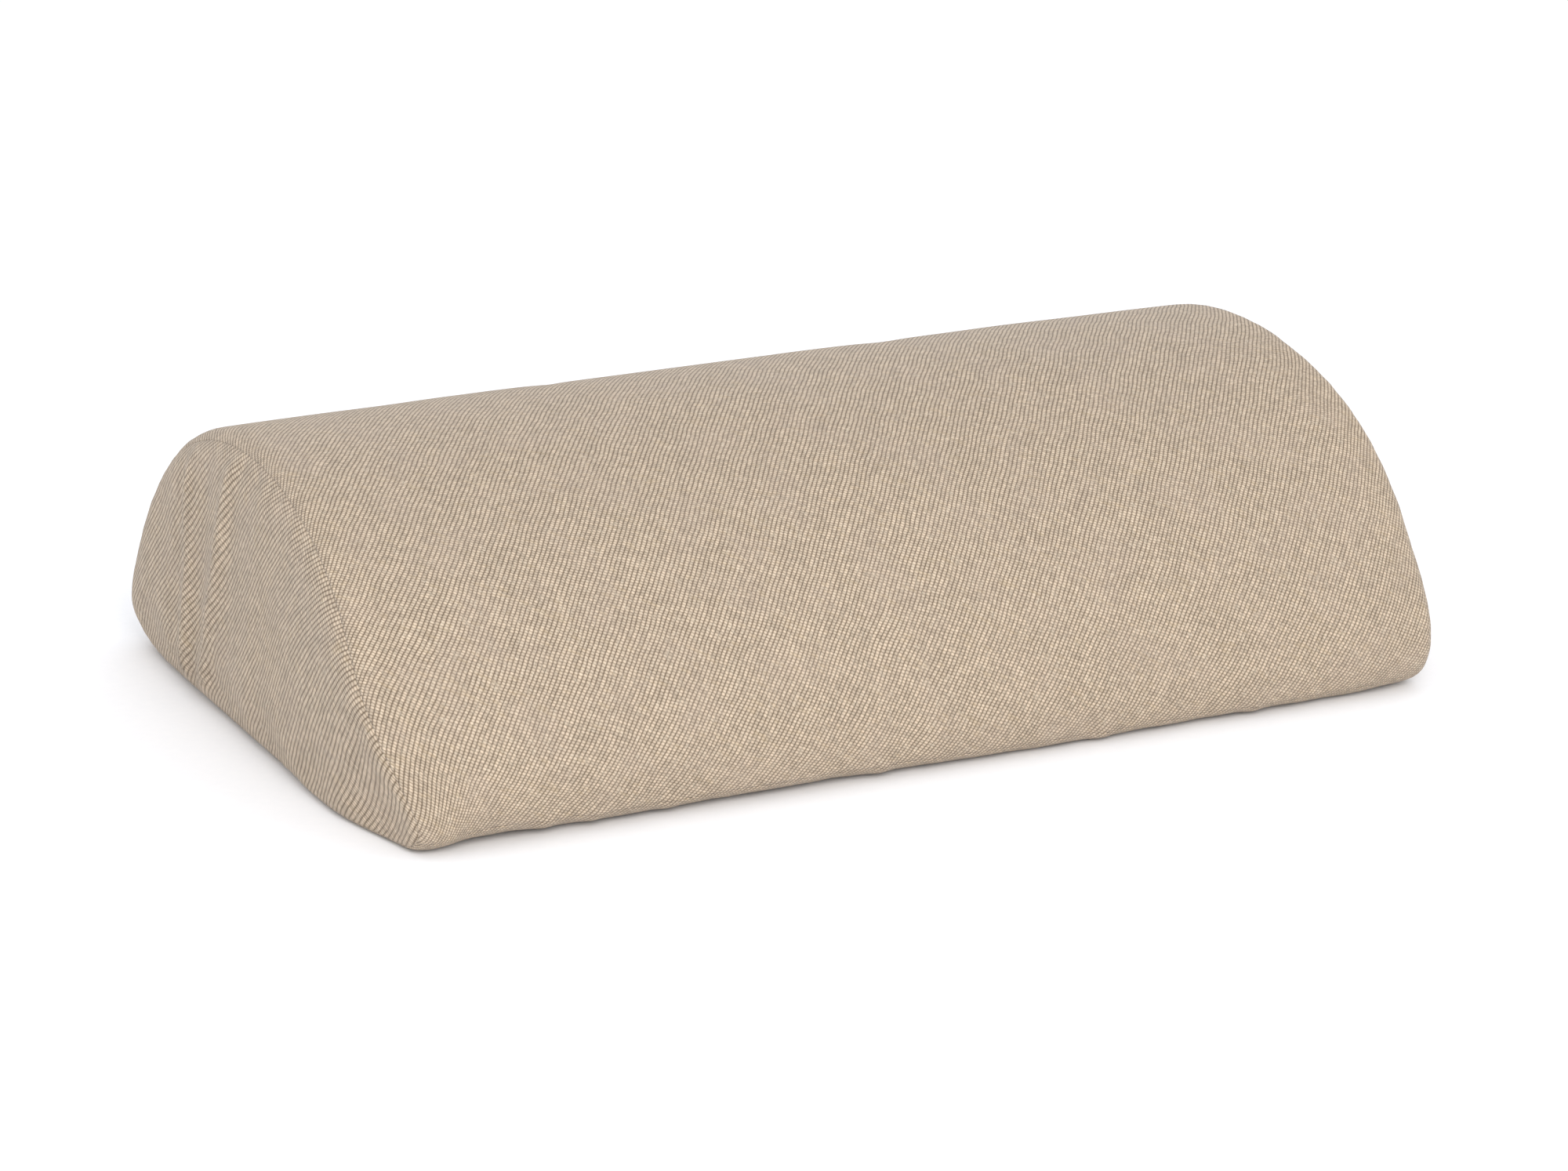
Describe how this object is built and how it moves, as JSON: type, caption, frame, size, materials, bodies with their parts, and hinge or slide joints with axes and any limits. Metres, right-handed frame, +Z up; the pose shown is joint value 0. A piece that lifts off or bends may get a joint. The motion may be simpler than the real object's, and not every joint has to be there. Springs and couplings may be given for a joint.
{
  "type": "lumbar support cushion",
  "caption": "Half-moon foam support cushion in a zipped woven cover: arched top, flat base and flat D-shaped ends, lies flat side down behind a back or under feet.",
  "frame": {"origin": "centre of the rest face, on the surface the cushion lies on", "axes": "+X along the cushion's length towards the end where the zip closes, +Y towards the rear face that holds the zip, +Z up to the crown of the arch"},
  "size_m": [0.445, 0.285, 0.12],
  "materials": {
    "cover_fabric": "matte",
    "liner_fabric": "matte",
    "foam": "matte",
    "zip_tape": "matte",
    "zip_coil": "satin",
    "zip_metal": "satin",
    "label": "satin"
  },
  "bodies": {
    "cushion": {"foam_core": "foam", "liner_wrap": "liner_fabric", "liner_base": "liner_fabric", "liner_end_left": "liner_fabric", "liner_end_right": "liner_fabric", "cover_wrap_panel": "cover_fabric", "cover_rear_strip": "cover_fabric", "cover_base_panel": "cover_fabric", "cover_end_panel_left": "cover_fabric", "cover_end_panel_right": "cover_fabric", "zip_end_tab_left": "cover_fabric", "zip_end_tab_right": "cover_fabric", "zip_tape_upper": "zip_tape", "zip_tape_lower": "zip_tape", "zip_coil_upper": "zip_coil", "zip_coil_lower": "zip_coil", "zip_top_stop_upper": "zip_metal", "zip_top_stop_lower": "zip_metal", "zip_bottom_stop": "zip_metal", "care_label": "label"},
    "slider": {"zip_slider": "zip_metal"},
    "pull_tab": {"zip_pull_tab": "zip_metal"}
  },
  "joints": [
    {"name": "zip_slide", "type": "slide", "parent": "cushion", "child": "slider", "axis": [-1, 0, 0], "range_m": [0, 0.362]},
    {"name": "tab_flip", "type": "hinge", "parent": "slider", "child": "pull_tab", "pos_m": [0.1815, 0.13802, 0.04308], "axis": [0, 0.4133, -0.9106], "range_deg": [0, 180]}
  ]
}
